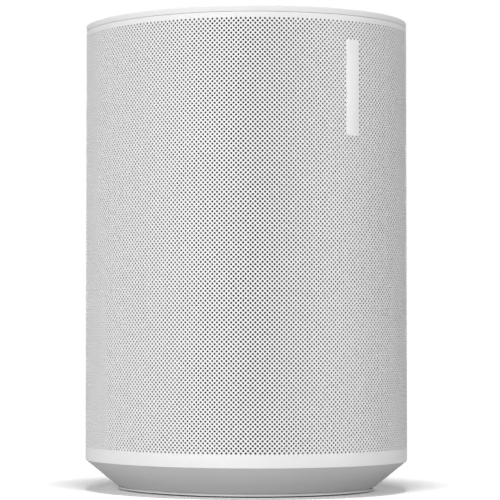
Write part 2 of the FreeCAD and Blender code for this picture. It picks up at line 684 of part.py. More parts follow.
def make_large_driver():
    mouth_in = f"{BASKET_MOUTH} - basket_wall"
    basket = turned("basket", [
        ("driver_radius", "-flange_thickness"), ("driver_radius", "0"), (BASKET_MOUTH, "0"),
        ("basket_back_radius", "basket_depth"), ("basket_back_radius", POLE_TIP),
        ("magnet_bore", POLE_TIP), ("magnet_bore", "basket_depth"),
        ("basket_back_radius - basket_wall", "basket_depth"), (mouth_in, "0"),
        (mouth_in, "-flange_thickness")])
    holes = sketch_on(basket, "XZ_Plane", "flange_thickness")
    circles(holes, DRIVER_SCREWS, "driver_screw_radius + screw_gap")
    pocket(basket, holes, "flange_thickness")
    place_driver(basket, "woofer_basket")

    gasket = turned("driver_gasket", [
        (DRIVER_HOLE, "0"), ("driver_radius", "0"), ("driver_radius", "gasket_thickness"),
        (DRIVER_HOLE, "gasket_thickness")])
    holes = sketch_on(gasket, "XZ_Plane")
    circles(holes, DRIVER_SCREWS, "driver_screw_radius + screw_gap")
    pocket(gasket, holes, "gasket_thickness")
    place_driver(gasket, "woofer_gasket")

    magnet = turned("magnet", [
        ("magnet_bore", POLE_TIP), ("magnet_radius", POLE_TIP), ("magnet_radius", MAGNET_BACK),
        ("magnet_bore", MAGNET_BACK)])
    place_driver(magnet, "woofer_magnet")
    yoke_back = f"{MAGNET_BACK} + yoke_thickness"
    yoke = turned("yoke", [
        ("0", POLE_TIP), ("pole_radius", POLE_TIP), ("pole_radius", MAGNET_BACK),
        ("magnet_radius", MAGNET_BACK), ("magnet_radius", yoke_back), ("0", yoke_back)])
    place_driver(yoke, "woofer_yoke")

    cone_edge = "coil_radius + screw_gap"
    cone = turned("cone", [
        (CONE_RADIUS, "-cone_forward"), (CONE_RADIUS, "cone_wall - cone_forward"),
        (cone_edge, f"{CONE_BACK} + cone_wall"), (cone_edge, CONE_BACK)])
    place_driver(cone, "woofer_cone")
    coil_front = f"{CONE_BACK} + cone_wall"
    coil = turned("coil", [
        ("coil_radius - coil_wall", coil_front), ("coil_radius", coil_front),
        ("coil_radius", f"{coil_front} + coil_length"),
        ("coil_radius - coil_wall", f"{coil_front} + coil_length")])
    place_driver(coil, "woofer_voice_coil")
    cap = dome("driver_cap", "coil_radius", "cap_rise", "coil_wall", f"-{CONE_BACK}")
    place_driver(cap, "woofer_dust_cap")

    roll_centre = f"({CONE_RADIUS} + slide_gap + roll_radius)"
    surround = new_body("surround")
    sketch = sketch_on(surround, "XY_Plane")
    seat = "-flange_thickness"
    shell_profile(sketch, (roll_centre, seat), "roll_radius", "roll_wall", (math.pi, 2 * math.pi),
                  "DistanceY", (seat, seat, seat, seat))
    spin(surround, sketch)
    place_driver(surround, "woofer_surround")
    spider_bore = "coil_radius + 2 * slide_gap"
    spider = turned("spider", [
        (spider_bore, "basket_depth - spider_thickness"),
        ("spider_outer", "basket_depth - spider_thickness"), ("spider_outer", "basket_depth"),
        (spider_bore, "basket_depth")])
    place_driver(spider, "woofer_spider")
    fasteners = screws("driver_screws", "XZ_Plane", "flange_thickness", DRIVER_SCREWS,
                       "driver_screw_radius", "driver_screw_head", "screw_head / 2",
                       "driver_screw_length", flip=True)
    place_driver(fasteners, "woofer_screws")


# pair of small drivers on an angled bracket

HORN_SCREWS = four("horn_screw_reach", "horn_screw_reach")


def place_horn(item, side):
    """Stand an item on the bracket's left (-1) or right (1) face, looking outwards."""
    angle = f"({side} * horn_angle)"
    place(item, f"horn_out * sin({angle} * 1 deg)", f"-horn_out * cos({angle} * 1 deg)", "horn_up",
          angle)


def make_small_drivers():
    plates = []
    for side, word in ((-1, "left"), (1, "right")):
        plate = block("plate_" + word, "0", "horn_plate / 2", "-horn_plate_height / 2",
                      "horn_plate_width", "horn_plate", "horn_plate_height")
        for places, radius in (([("0", "0")], "horn_magnet_radius + slide_gap"),
                               (HORN_SCREWS, "horn_screw_radius + seat_gap")):
            holes = sketch_on(plate, "XZ_Plane")
            circles(holes, places, radius)
            pocket(plate, holes, "2 * horn_plate")
        place_horn(plate, side)
        plates.append(plate)

        driver = turned("horn_" + word, [
            ("0", "dome_room"), ("horn_opening", "dome_room"), ("horn_opening", "-horn_flange"),
            ("horn_radius", "-horn_flange"), ("horn_radius", "0"), ("horn_magnet_radius", "0"),
            ("horn_magnet_radius", "horn_magnet_depth"), ("0", "horn_magnet_depth")])
        holes = sketch_on(driver, "XZ_Plane", "horn_flange")
        circles(holes, HORN_SCREWS, "horn_screw_radius + screw_gap")
        pocket(driver, holes, "horn_flange")
        place_horn(driver, side)
        node(driver, "tweeter_" + word)

        skin = dome("dome_" + word, "dome_radius", "dome_rise", "dome_wall", "dome_back")
        place_horn(skin, side)
        node(skin, "tweeter_dome_" + word)
        fasteners = screws("horn_screws_" + word, "XZ_Plane", "horn_flange", HORN_SCREWS,
                           "horn_screw_radius", "horn_screw_head", "horn_screw_head / 2",
                           "horn_screw_length", flip=True)
        place_horn(fasteners, side)
        node(fasteners, "tweeter_screws_" + word)

    inner_end = "(horn_out * sin(horn_angle * 1 deg) - horn_plate_width / 2 * cos(horn_angle * 1 deg))"
    front = "(horn_out * cos(horn_angle * 1 deg) + horn_plate_width / 2 * sin(horn_angle * 1 deg))"
    bridge = block("bridge", "0", f"-{front} + horn_plate", "box_top",
                   f"2 * {inner_end} + horn_plate", "horn_plate",
                   "horn_up + horn_plate_height / 2 - box_top")
    outer_end = "(horn_out * sin(horn_angle * 1 deg) + horn_plate_width / 2 * cos(horn_angle * 1 deg))"
    back = "(horn_out * cos(horn_angle * 1 deg) - horn_plate_width / 2 * sin(horn_angle * 1 deg))"
    sole = new_body("sole")
    sketch = sketch_on(sole, "XY_Plane", "box_top")
    outline(sketch, [(f"-{inner_end}", f"-{front}"), (inner_end, f"-{front}"),
                     (outer_end, f"-{back}"), (outer_end, f"-{back} + horn_plate_width / 3"),
                     (f"-{outer_end}", f"-{back} + horn_plate_width / 3"),
                     (f"-{outer_end}", f"-{back}")])
    pad(sole, sketch, "horn_up - horn_plate_height / 2 + horn_plate - box_top")
    bracket = doc.addObject("Part::MultiFuse", "bracket")
    bracket.Shapes = plates + [bridge, sole]
    node(bracket, "tweeter_bracket")


# main board, its carrier and heat sink, and the aerials

BOARD_MIDDLE = "(main_board_bottom + main_board_height / 2)"


def make_main_electronics():
    front = "(main_board_back - board_thickness)"
    board = block("main_plate", "0", f"{front} + board_thickness / 2", "main_board_bottom",
                  "main_board_width", "board_thickness", "main_board_height")
    node(board, "main_board")

    cans = new_body("cans")
    sketch = sketch_on(cans, "XZ_Plane", f"-{front}")
    for side in ("", "-"):
        rectangle(sketch, side + "can_across", BOARD_MIDDLE, "can_width", "can_height")
    pad(cans, sketch, "can_depth")
    node(cans, "shield_cans")

    pad_back = "(main_board_back + thermal_pad)"
    paste = block("paste", "0", "main_board_back + thermal_pad / 2",
                  f"{BOARD_MIDDLE} - sink_height / 2", "sink_width", "thermal_pad", "sink_height")
    node(paste, "thermal_pad")
    sink = block("sink", "0", f"{pad_back} + sink_base / 2", f"{BOARD_MIDDLE} - sink_height / 2",
                 "sink_width", "sink_base", "sink_height")
    fins = sketch_on(sink, "XZ_Plane", f"-({pad_back} + sink_base)")
    count = int(value("(sink_width - fin_thickness) / fin_pitch")) + 1
    for step in range(count):
        rectangle(fins, f"({step} - {(count - 1) / 2}) * fin_pitch", BOARD_MIDDLE,
                  "fin_thickness", "sink_height")
    pad(sink, fins, "fin_length", flip=True)
    node(sink, "heat_sink")

    carrier_front = "(main_board_back + standoff)"
    carrier_width = "(main_board_width + 2 * carrier_margin)"
    carrier = block("carrier", "0", f"{carrier_front} + carrier_wall / 2", "box_top",
                    carrier_width, "carrier_wall",
                    "main_board_bottom + main_board_height - box_top")
    foot = sketch_on(carrier, "XY_Plane", "box_top")
    rectangle(foot, "0", f"{carrier_front} + carrier_foot / 2", carrier_width, "carrier_foot")
    pad(carrier, foot, "carrier_wall")
    window = sketch_on(carrier, "XZ_Plane")
    rectangle(window, "0", BOARD_MIDDLE, "sink_width + 2 * fit_gap", "sink_height + 2 * fit_gap")
    pocket(carrier, window)
    posts = sketch_on(carrier, "XZ_Plane", f"-{carrier_front}")
    places = [(side + "(main_board_width / 2 - board_edge)", f"{BOARD_MIDDLE} {lift} "
               "(main_board_height / 2 - board_edge)") for side in ("", "-") for lift in ("+", "-")]
    circles(posts, places, "board_boss_radius")
    pad(carrier, posts, "standoff")
    node(carrier, "board_carrier")

    strips = new_body("strips")
    sketch = sketch_on(strips, "XY_Plane", "box_top")
    for side in ("", "-"):
        rectangle(sketch, side + "antenna_across", "antenna_along", "antenna_width",
                  "antenna_length")
    pad(strips, sketch, "antenna_thickness")
    node(strips, "antennas")


# power supply

def make_power_supply():
    bottom = f"({TRAY_TOP} + supply_lift)"
    top = f"({TRAY_TOP} + supply_lift + board_thickness)"
    board = block("supply_plate", "0", "0", bottom, "supply_width", "supply_depth",
                  "board_thickness")
    holes = sketch_on(board, "XY_Plane", top)
    circles(holes, BOARD_BOSSES, "driver_screw_radius + screw_gap")
    pocket(board, holes)
    node(board, "power_supply_board")

    core = block("core", "-core_across", "0", top, "core_width", "core_depth", "core_height")
    winding = sketch_on(core, "XY_Plane", top)
    rectangle(winding, "-core_across", "0", "winding_width", "winding_depth")
    pad(core, winding, "winding_height")
    node(core, "transformer")

    tanks = rods("tanks", "XY_Plane", top, [("tank_across", "tank_along"),
                                            ("tank_across", "-tank_along")],
                 "tank_radius", "tank_height")
    node(tanks, "power_capacitors")
    fasteners = screws("supply_screws", "XY_Plane", top, BOARD_BOSSES, "driver_screw_radius",
                       "driver_screw_head", "screw_head / 2", "supply_lift", flip=True)
    node(fasteners, "power_board_screws")


# rear connector panel

REAR_POSTS = [(side + "post_across", level) for side in ("", "-")
              for level in ("rear_board_bottom + post_edge",
                            "rear_board_bottom + rear_board_height - post_edge")]
INLET_MOUTH = f"({PANEL_BACK} - inlet_lip_gap)"
BOARD_REAR = "-rear_board_back"


def make_rear_panel():
    ring = oval_ring("panel_ring", "panel_sunk", "panel_sunk + panel_wall", "base_top",
                     f"{SEAM} - base_top")
    stamp = new_body("panel_stamp")
    sketch = sketch_on(stamp, "XZ_Plane")
    rear_window(sketch, "0")
    pad(stamp, sketch, "depth", flip=True)
    plate = boolean("Common", "panel_plate", ring, stamp)
    posts = rods("panel_posts", "XZ_Plane", BOARD_REAR, REAR_POSTS, "post_radius",
                 f"{PANEL_BACK} - rear_board_back", flip=True)
    plate = boolean("Fuse", "panel_with_posts", plate, posts)
    pilots = rods("panel_pilots", "XZ_Plane", BOARD_REAR, REAR_POSTS,
                  "post_screw_radius + seat_gap", "slider_depth", flip=True)
    plate = boolean("Cut", "panel_drilled", plate, pilots)
    openings = new_body("panel_openings")
    sketch = sketch_on(openings, "XZ_Plane", BOARD_REAR)
    slot(sketch, "0", "inlet_up", "inlet_width", "inlet_height")
    slot(sketch, "0", "port_up", "port_width + 2 * port_mouth_gap",
         "port_height + 2 * port_mouth_gap")
    rounded(sketch, "0", "slider_up", "slider_width + slider_travel + 2 * slide_gap",
            "slider_height + 2 * slide_gap", "slider_corner")
    circle(sketch, "0", "button_up", "button_radius + slide_gap")
    pad(openings, sketch, "depth", flip=True)
    node(boolean("Cut", "panel_opened", plate, openings), "rear_panel")


def make_rear_connectors():
    board = block("rear_plate", "0", "rear_board_back - board_thickness / 2", "rear_board_bottom",
                  "rear_board_width", "board_thickness", "rear_board_height")
    holes = sketch_on(board, "XZ_Plane", "-(rear_board_back - board_thickness)")
    circles(holes, REAR_POSTS, "post_screw_radius + screw_gap")
    pocket(board, holes)
    node(board, "connector_board")
    fasteners = screws("rear_screws", "XZ_Plane", "-(rear_board_back - board_thickness)",
                       REAR_POSTS, "post_screw_radius", "2 * post_screw_radius",
                       "post_screw_radius", "slider_depth", flip=True)
    node(fasteners, "connector_board_screws")

    inlet_back = f"({INLET_BOTTOM} - inlet_back_wall)"
    inlet = block("inlet", "0", f"({inlet_back} + {INLET_MOUTH}) / 2",
                  "inlet_up - inlet_height / 2 - inlet_shell", "inlet_width + 2 * inlet_shell",
                  f"{INLET_MOUTH} - {inlet_back}", "inlet_height + 2 * inlet_shell")
    cavity = sketch_on(inlet, "XZ_Plane", f"-{INLET_MOUTH}")
    slot(cavity, "0", "inlet_up", "inlet_width", "inlet_height")
    pocket(inlet, cavity, f"{INLET_MOUTH} - {INLET_BOTTOM}", flip=True)
    pins = [("inlet_pin_apart / 2", "inlet_up"), ("-inlet_pin_apart / 2", "inlet_up")]
    seats = sketch_on(inlet, "XZ_Plane", f"-{inlet_back}")
    circles(seats, pins, "inlet_shank_radius + seat_gap")
    pocket(inlet, seats)
    node(inlet, "mains_inlet")
    shanks = rods("shanks", "XZ_Plane", f"-({inlet_back} - inlet_pin_tail)", pins,
                  "inlet_shank_radius", "inlet_back_wall + inlet_pin_tail + inlet_pin_length / 2",
                  flip=True)
    blades = rods("blades", "XZ_Plane", f"-({INLET_BOTTOM} + inlet_pin_neck)", pins,
                  "inlet_pin_radius", "inlet_pin_length - inlet_pin_neck", flip=True)
    node(boolean("Fuse", "inlet_pins", shanks, blades), "mains_pins")

    port = new_body("port")
    sketch = sketch_on(port, "XZ_Plane", BOARD_REAR)
    slot(sketch, "0", "port_up", "port_width", "port_height")
    pad(port, sketch, "port_depth", flip=True)
    mouth = sketch_on(port, "XZ_Plane", f"{BOARD_REAR} - port_depth")
    slot(mouth, "0", "port_up", "port_width - 2 * port_wall", "port_height - 2 * port_wall")
    pocket(port, mouth, "port_depth - port_back_wall", flip=True)
    node(port, "usb_socket_shell")
    tongue_root = "(rear_board_back + port_back_wall)"
    tongue_length = "(port_depth - port_back_wall - tongue_short)"
    tongue = block("tongue", "0", f"{tongue_root} + {tongue_length} / 2",
                   "port_up - tongue_thickness / 2", "tongue_width", tongue_length,
                   "tongue_thickness")
    node(tongue, "usb_socket_tongue")

    box_rear = "(rear_board_back + slider_box_depth)"
    box = block("slide_box", "0", "rear_board_back + slider_box_depth / 2",
                "slider_up - slider_box_height / 2", "slider_box_width", "slider_box_depth",
                "slider_box_height")
    node(box, "microphone_switch_body")
    knob = new_body("knob")
    for wide, tall, length in (
            ("slider_width", "slider_height", "slider_depth"),
            ("slider_width + 2 * slider_flange", "slider_height + 2 * slider_flange",
             "slider_flange_wall")):
        sketch = sketch_on(knob, "XZ_Plane", f"-({box_rear} + slide_gap)")
        rounded(sketch, "-slider_travel / 2", "slider_up", wide, tall,
                "slider_corner - slide_gap")
        pad(knob, sketch, length, flip=True)
    node(knob, "microphone_switch_knob")

    tact = block("tact", "0", "rear_board_back + button_box_depth / 2",
                 "button_up - button_box / 2", "button_box", "button_box_depth", "button_box")
    node(tact, "pairing_button_switch")
    button_back = "(rear_board_back + button_box_depth + button_lift)"
    button = rods("button", "XZ_Plane", f"-{button_back}", [("0", "button_up")], "button_radius",
                  f"{PANEL_FACE} - button_sunk - {button_back}", flip=True)
    flange = sketch_on(button, "XZ_Plane", f"-{button_back}")
    circle(flange, "0", "button_up", "button_flange")
    pad(button, flange, "button_flange_wall", flip=True)
    node(button, "pairing_button")


make_top_cap()
make_touch_electronics()
make_grille()
make_base()
make_chassis()
make_enclosure()
make_large_driver()
make_small_drivers()
make_main_electronics()
make_power_supply()
make_rear_panel()
make_rear_connectors()
doc.recompute()

failed = [item.Label for item in doc.Objects if {"Invalid", "Error"} & set(item.State)]
if failed:
    raise RuntimeError("failed objects: " + ", ".join(failed))
broken = [part.Label for part in parts if part.Shape.isNull() or not part.Shape.isValid()]
if broken:
    raise RuntimeError("broken shapes: " + ", ".join(broken))

os.makedirs("parts", exist_ok=True)
for part in parts:
    part.Shape.exportStep(f"parts/{part.Label}.step")
print(f"{len(parts)} nodes written")
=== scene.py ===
import math

import bmesh
import bpy
import numpy as np
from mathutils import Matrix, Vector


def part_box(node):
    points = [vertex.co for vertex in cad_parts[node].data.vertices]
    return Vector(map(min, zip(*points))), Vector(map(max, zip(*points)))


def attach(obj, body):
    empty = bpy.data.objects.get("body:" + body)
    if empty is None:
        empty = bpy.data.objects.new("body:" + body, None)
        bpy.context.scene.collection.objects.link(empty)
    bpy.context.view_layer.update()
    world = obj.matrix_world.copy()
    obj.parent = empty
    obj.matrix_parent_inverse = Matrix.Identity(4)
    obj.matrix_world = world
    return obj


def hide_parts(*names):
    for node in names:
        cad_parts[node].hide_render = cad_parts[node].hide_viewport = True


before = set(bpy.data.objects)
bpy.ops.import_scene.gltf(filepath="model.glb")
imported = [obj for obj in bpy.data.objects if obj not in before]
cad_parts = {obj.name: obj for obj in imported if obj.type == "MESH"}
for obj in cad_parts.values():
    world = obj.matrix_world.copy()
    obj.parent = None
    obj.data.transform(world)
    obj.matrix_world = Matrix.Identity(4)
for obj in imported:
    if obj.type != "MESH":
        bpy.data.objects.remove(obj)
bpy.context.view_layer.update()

# Camera: a long lens a little under a metre away, at the speaker's front left and a third of the
# way up it, tipped up slightly. The front, with its badge, stands turned to the right.
MM = 0.001
VIEW_TURN, VIEW_DISTANCE, VIEW_HEIGHT = math.radians(-37.9), 959 * MM, 62.1 * MM
TIP_UP, SWING_RIGHT = 0.0333, 0.0018
LENS, SENSOR = 175.2, 36
camera = bpy.data.objects.new("camera", bpy.data.cameras.new("camera"))
camera.location = (VIEW_DISTANCE * math.sin(VIEW_TURN), -VIEW_DISTANCE * math.cos(VIEW_TURN),
                   VIEW_HEIGHT)
camera.rotation_euler = (math.pi / 2 + TIP_UP, 0, VIEW_TURN - SWING_RIGHT)
camera.data.lens, camera.data.sensor_width = LENS, SENSOR
bpy.context.scene.collection.objects.link(camera)
bpy.context.scene.camera = camera
bpy.context.scene.view_settings.view_transform = "Standard"


# Studio: a white table top, a small lamp overhead, wide soft lamps at the left side, the front left
# and the front right, one behind, and faint even light from all round. None of it belongs to the
# speaker.
class Wire:
    """A socket in a node tree, with arithmetic that adds Math nodes."""

    def __init__(self, tree, socket):
        self.tree, self.socket = tree, socket

    def add(self, kind, settings=None, out=0, **sockets):
        """A node of any kind: its settings first, then its sockets, by name with _ for a space or
        by number as i0, i1 and so on."""
        node = self.tree.nodes.new(kind)
        for name, setting in (settings or {}).items():
            setattr(node, name, setting)
        for name, given in sockets.items():
            numbered = name[0] == "i" and name[1:].isdigit()
            target = node.inputs[int(name[1:]) if numbered else name.replace("_", " ")]
            if isinstance(given, Wire):
                self.tree.links.new(given.socket, target)
            else:
                target.default_value = given
        return Wire(self.tree, node.outputs[out])

    def math(self, operation, first, second):
        return self.add("ShaderNodeMath", {"operation": operation}, i0=first, i1=second)

    def __add__(self, other):
        return self.math("ADD", self, other)

    def __radd__(self, other):
        return self.math("ADD", other, self)

    def __sub__(self, other):
        return self.math("SUBTRACT", self, other)

    def __rsub__(self, other):
        return self.math("SUBTRACT", other, self)

    def __mul__(self, other):
        return self.math("MULTIPLY", self, other)

    def __rmul__(self, other):
        return self.math("MULTIPLY", other, self)

    def mix(self, low, high):
        """One colour or another, by this wire as a mask."""
        settings = {"data_type": "RGBA"}
        return self.add("ShaderNodeMix", settings, out=2, i0=self, i6=low, i7=high)


def new_finish(name, roughness, **uniform):
    """Principled material: returns it, its shader node and a wire of object coordinates."""
    finish = bpy.data.materials.new(name)
    finish.use_nodes = True
    shader = finish.node_tree.nodes["Principled BSDF"]
    shader.inputs["Roughness"].default_value = roughness
    for socket, number in uniform.items():
        shader.inputs[socket.replace("_", " ")].default_value = number
    places = finish.node_tree.nodes.new("ShaderNodeTexCoord").outputs["Object"]
    return finish, shader, Wire(finish.node_tree, places)


def feed(shader, socket, wire):
    wire.tree.links.new(wire.socket, shader.inputs[socket])


def noise(places, scale, detail=3.0):
    return places.add("ShaderNodeTexNoise", Vector=places, Scale=scale, Detail=detail)


def table_top():
    """The camera sees a white surface that turns to pure white further out, like a studio sweep;
    the speaker gets a dimmer bounce from it."""
    finish, shader, places = new_finish("table_paint", 0.9)
    dull, pale = (0.38, 0.38, 0.38, 1), (0.41, 0.41, 0.41, 1)
    feed(shader, "Base Color", noise(places, 3.0).mix(dull, pale))
    bright = places.add("ShaderNodeBsdfDiffuse", Color=(1.3, 1.3, 1.3, 1))
    away = places.add("ShaderNodeVectorMath", {"operation": "LENGTH"}, out=1, i0=places)
    beyond = away.add("ShaderNodeMapRange", {"interpolation_type": "SMOOTHSTEP"},
                      Value=away, From_Min=0.13, From_Max=0.3)
    sweep = places.add("ShaderNodeEmission", Strength=1.02)
    both = places.add("ShaderNodeMixShader", i0=beyond, i1=bright, i2=sweep)
    seen = places.add("ShaderNodeLightPath")
    surface = places.add("ShaderNodeMixShader", i0=seen,
                         i1=Wire(finish.node_tree, shader.outputs[0]), i2=both)
    output = finish.node_tree.nodes["Material Output"]
    finish.node_tree.links.new(surface.socket, output.inputs[0])
    mesh = bpy.data.meshes.new("table_top")
    shape = bmesh.new()
    bmesh.ops.create_circle(shape, cap_ends=True, radius=6.0, segments=96)
    shape.to_mesh(mesh)
    mesh.materials.append(finish)
    top = bpy.data.objects.new("table_top", mesh)
    bpy.context.scene.collection.objects.link(top)


AIM_HEIGHT = 90 * MM


def lamp(name, azimuth, height, away, width, tall, power):
    """Soft lamp aimed at the speaker's middle; azimuth 0 is straight in front of it."""
    light = bpy.data.lights.new(name, "AREA")
    light.shape, light.size, light.size_y, light.energy = "RECTANGLE", width, tall, power
    item = bpy.data.objects.new(name, light)
    side = math.radians(azimuth)
    item.location = (away * math.sin(side), -away * math.cos(side), height)
    drop = math.atan2(height - AIM_HEIGHT, away)
    item.rotation_euler = (math.pi / 2 - drop, 0, side)
    bpy.context.scene.collection.objects.link(item)


table_top()
lamp("top_lamp", azimuth=-38, height=1.3, away=0.17, width=0.22, tall=0.22, power=9.5)
lamp("side_lamp", azimuth=-95, height=0.2, away=1.5, width=1.0, tall=0.34, power=8.2)
lamp("key_lamp", azimuth=-62, height=0.2, away=1.5, width=1.0, tall=0.34, power=8.3)
lamp("fill_lamp", azimuth=20, height=0.2, away=1.5, width=1.0, tall=0.34, power=9.4)
lamp("rear_lamp", azimuth=142, height=0.25, away=1.5, width=1.0, tall=0.4, power=9)
EVEN_LIGHT = 0.14
world = bpy.data.worlds.new("studio")
world.use_nodes = True
bpy.context.scene.world = world
rays = world.node_tree.nodes.new("ShaderNodeLightPath")
seen_directly = Wire(world.node_tree, rays.outputs["Is Camera Ray"])
brightness = seen_directly * (1 - EVEN_LIGHT) + EVEN_LIGHT
background = world.node_tree.nodes["Background"]
background.inputs["Color"].default_value = (1, 1, 1, 1)
world.node_tree.links.new(brightness.socket, background.inputs["Strength"])


# Base and foot: a light grey moulding that tapers in under the grille, with a thin plate glued
# into its underside over a shadow line, and a ring of rubber let into the plate. Their grey is
# the plastic's own light grey, darkened further with painted shade for their downward faces.
low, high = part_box("grille")
HALF_WIDTH, HALF_DEPTH = high.x, high.y
CORNER_RADIUS = 50 * MM
CORNER_SPREAD_X, CORNER_SPREAD_Y = 0.8, 0.72
corner_x = (HALF_WIDTH - CORNER_RADIUS) * CORNER_SPREAD_X
corner_y = (HALF_DEPTH - CORNER_RADIUS) * CORNER_SPREAD_Y


def end_radius(reach, other):
    """Radius of an end arc that meets the corner arcs, from the span it leaves to their centre."""
    return (other ** 2 + reach ** 2 - CORNER_RADIUS ** 2) / (2 * (reach - CORNER_RADIUS))


nose = end_radius(HALF_DEPTH - corner_y, corner_x)
flank = end_radius(HALF_WIDTH - corner_x, corner_y)
nose_y, flank_x = HALF_DEPTH - nose, HALF_WIDTH - flank
steep = math.atan2(corner_y - nose_y, corner_x)
shallow = math.atan2(corner_y, corner_x - flank_x)

ARC_ENDS = np.array([-math.pi / 2, -steep, -shallow, shallow, steep, math.pi - steep,
                     math.pi - shallow, math.pi + shallow, math.pi + steep, 1.5 * math.pi])
ARC_RADII = np.array([nose, CORNER_RADIUS, flank, CORNER_RADIUS, nose,
                      CORNER_RADIUS, flank, CORNER_RADIUS, nose])
ARC_CENTRES = np.array([(0, -nose_y), (corner_x, -corner_y), (flank_x, 0), (corner_x, corner_y),
                        (0, nose_y), (-corner_x, corner_y), (-flank_x, 0),
                        (-corner_x, -corner_y), (0, -nose_y)])
ARC_STARTS = np.concatenate(([0], np.cumsum(ARC_RADII * np.diff(ARC_ENDS))))
GIRTH = ARC_STARTS[-1]


def wrap(along, up, inset=0.0, scale=1.0):
    """Places on the oval: a distance round it from the front towards +X, a height and an inset,
    drawn in towards the middle where the scale is less than 1."""
    along, up, inset, scale = np.broadcast_arrays(along, up, inset, scale)
    along = np.mod(along, GIRTH)
    piece = np.clip(np.searchsorted(ARC_STARTS, along, side="right") - 1, 0, len(ARC_RADII) - 1)
    facing = ARC_ENDS[piece] + (along - ARC_STARTS[piece]) / ARC_RADII[piece]
    reach = ARC_RADII[piece] - inset
    across = (ARC_CENTRES[piece, 0] + reach * np.cos(facing)) * scale
    back = (ARC_CENTRES[piece, 1] + reach * np.sin(facing)) * scale
    return np.stack((across, back, up), axis=-1)


def softened(points, steps=6):
    """Profile corners given as (inset, height, setback, scale), each rounded between two points
    that lie its setback away along its edges, and left sharp where the setback is 0."""
    line = []
    count = len(points)
    for index, (inset, up, setback, scale) in enumerate(points):
        here = np.array((inset, up))
        if not setback:
            line.append((inset, up, scale))
            continue
        ends = []
        for other in (points[index - 1], points[(index + 1) % count]):
            away = np.array(other[:2]) - here
            ends.append(here + away / np.linalg.norm(away) * setback)
        for t in np.linspace(0, 1, steps):
            spot = (1 - t) ** 2 * ends[0] + 2 * t * (1 - t) * here + t ** 2 * ends[1]
            line.append((*spot, scale))
    return np.array(line)


def show(name, mesh, finish):
    """Put a mesh in the scene as a piece of the speaker itself, which nothing moves."""
    mesh.materials.append(finish)
    item = bpy.data.objects.new(name, mesh)
    bpy.context.scene.collection.objects.link(item)
    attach(item, "speaker")
    return item


def smooth(mesh, limit=35):
    mesh.shade_smooth()
    mesh.set_sharp_from_angle(angle=math.radians(limit))


def swept(name, profile, finish, closed=True, segments=444):
    """Sweep a profile of (inset, height, scale) rows round the oval."""
    along = np.arange(segments) * GIRTH / segments
    rows = [wrap(along, up, inset, scale) for inset, up, scale in profile]
    count = len(rows)
    faces = []
    for row in range(count if closed else count - 1):
        first, second = row * segments, (row + 1) % count * segments
        for step in range(segments):
            following = (step + 1) % segments
            faces.append((first + step, second + step, second + following, first + following))
    mesh = bpy.data.meshes.new(name)
    mesh.from_pydata(np.concatenate(rows).tolist(), [], faces)
    shape = bmesh.new()
    shape.from_mesh(mesh)
    bmesh.ops.remove_doubles(shape, verts=shape.verts, dist=1e-7)
    bmesh.ops.recalc_face_normals(shape, faces=shape.faces)
    shape.to_mesh(mesh)
    shape.free()
    smooth(mesh)
    return show(name, mesh, finish)


def bump(shader, height, strength, reach):
    normal = height.add("ShaderNodeBump", Strength=strength, Distance=reach, Height=height)
    feed(shader, "Normal", normal)


def shade(colour, factor):
    return tuple(min(1.0, channel * factor) for channel in colour[:3]) + (1.0,)


def moulded(name, colour, roughness=0.5, grain=2200.0, depth=0.25):
    """Moulded plastic: a faint cloudiness in its colour and a fine spark-eroded texture."""
    finish, shader, places = new_finish(name, roughness)
    cloud = noise(places, 28.0)
    feed(shader, "Base Color", cloud.mix(shade(colour, 0.97), shade(colour, 1.02)))
    texture = noise(places, grain, 2.0)
    feed(shader, "Roughness", texture * 0.12 + (roughness - 0.06))
    bump(shader, texture, depth, 0.04 * MM)
    return finish


# Painted shade: this base colour is set below the grille's white so that the downward taper and
# plate show darker; the rest is the plastic's own light grey.
base_finish_with_painted_shade = moulded("base_plastic", (0.64, 0.64, 0.64), 0.55)
foot_finish = moulded("foot_rubber", (0.06, 0.06, 0.06), 0.8, 900.0, 0.5)
base_low, base_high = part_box("base")
base_top, base_bottom = low.z, base_low.z
plate_low, plate_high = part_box("foot_plate")
foot_low, foot_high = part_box("rubber_foot")
BASE_INSET, SHADOW_INSET, RIM_HEIGHT = 12.7 * MM, 14.1 * MM, 0.6 * MM
SPIGOT_OUTER, SPIGOT_INNER, FLOOR_INSET = 1.8 * MM, 3.3 * MM, 26 * MM
BASE_WALL, BASE_FLOOR = 2.2 * MM, 3.6 * MM
SEAM_ROUND, TOE_ROUND, LIP_ROUND = 0.12 * MM, 0.8 * MM, 0.4 * MM
base_profile = softened([
    (0, base_top, SEAM_ROUND, 1), (BASE_INSET, base_bottom, TOE_ROUND, 1),
    (FLOOR_INSET, base_bottom, 0, 1), (FLOOR_INSET, base_bottom + BASE_FLOOR, 0, 1),
    (BASE_INSET + BASE_WALL, base_bottom + BASE_FLOOR, 0, 1), (SPIGOT_INNER, base_top, 0, 1),
    (SPIGOT_INNER, base_high.z, LIP_ROUND, 1), (SPIGOT_OUTER, base_high.z, LIP_ROUND, 1),
    (SPIGOT_OUTER, base_top, 0, 1)])
base = swept("tapered_base", base_profile, base_finish_with_painted_shade)
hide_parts("base")

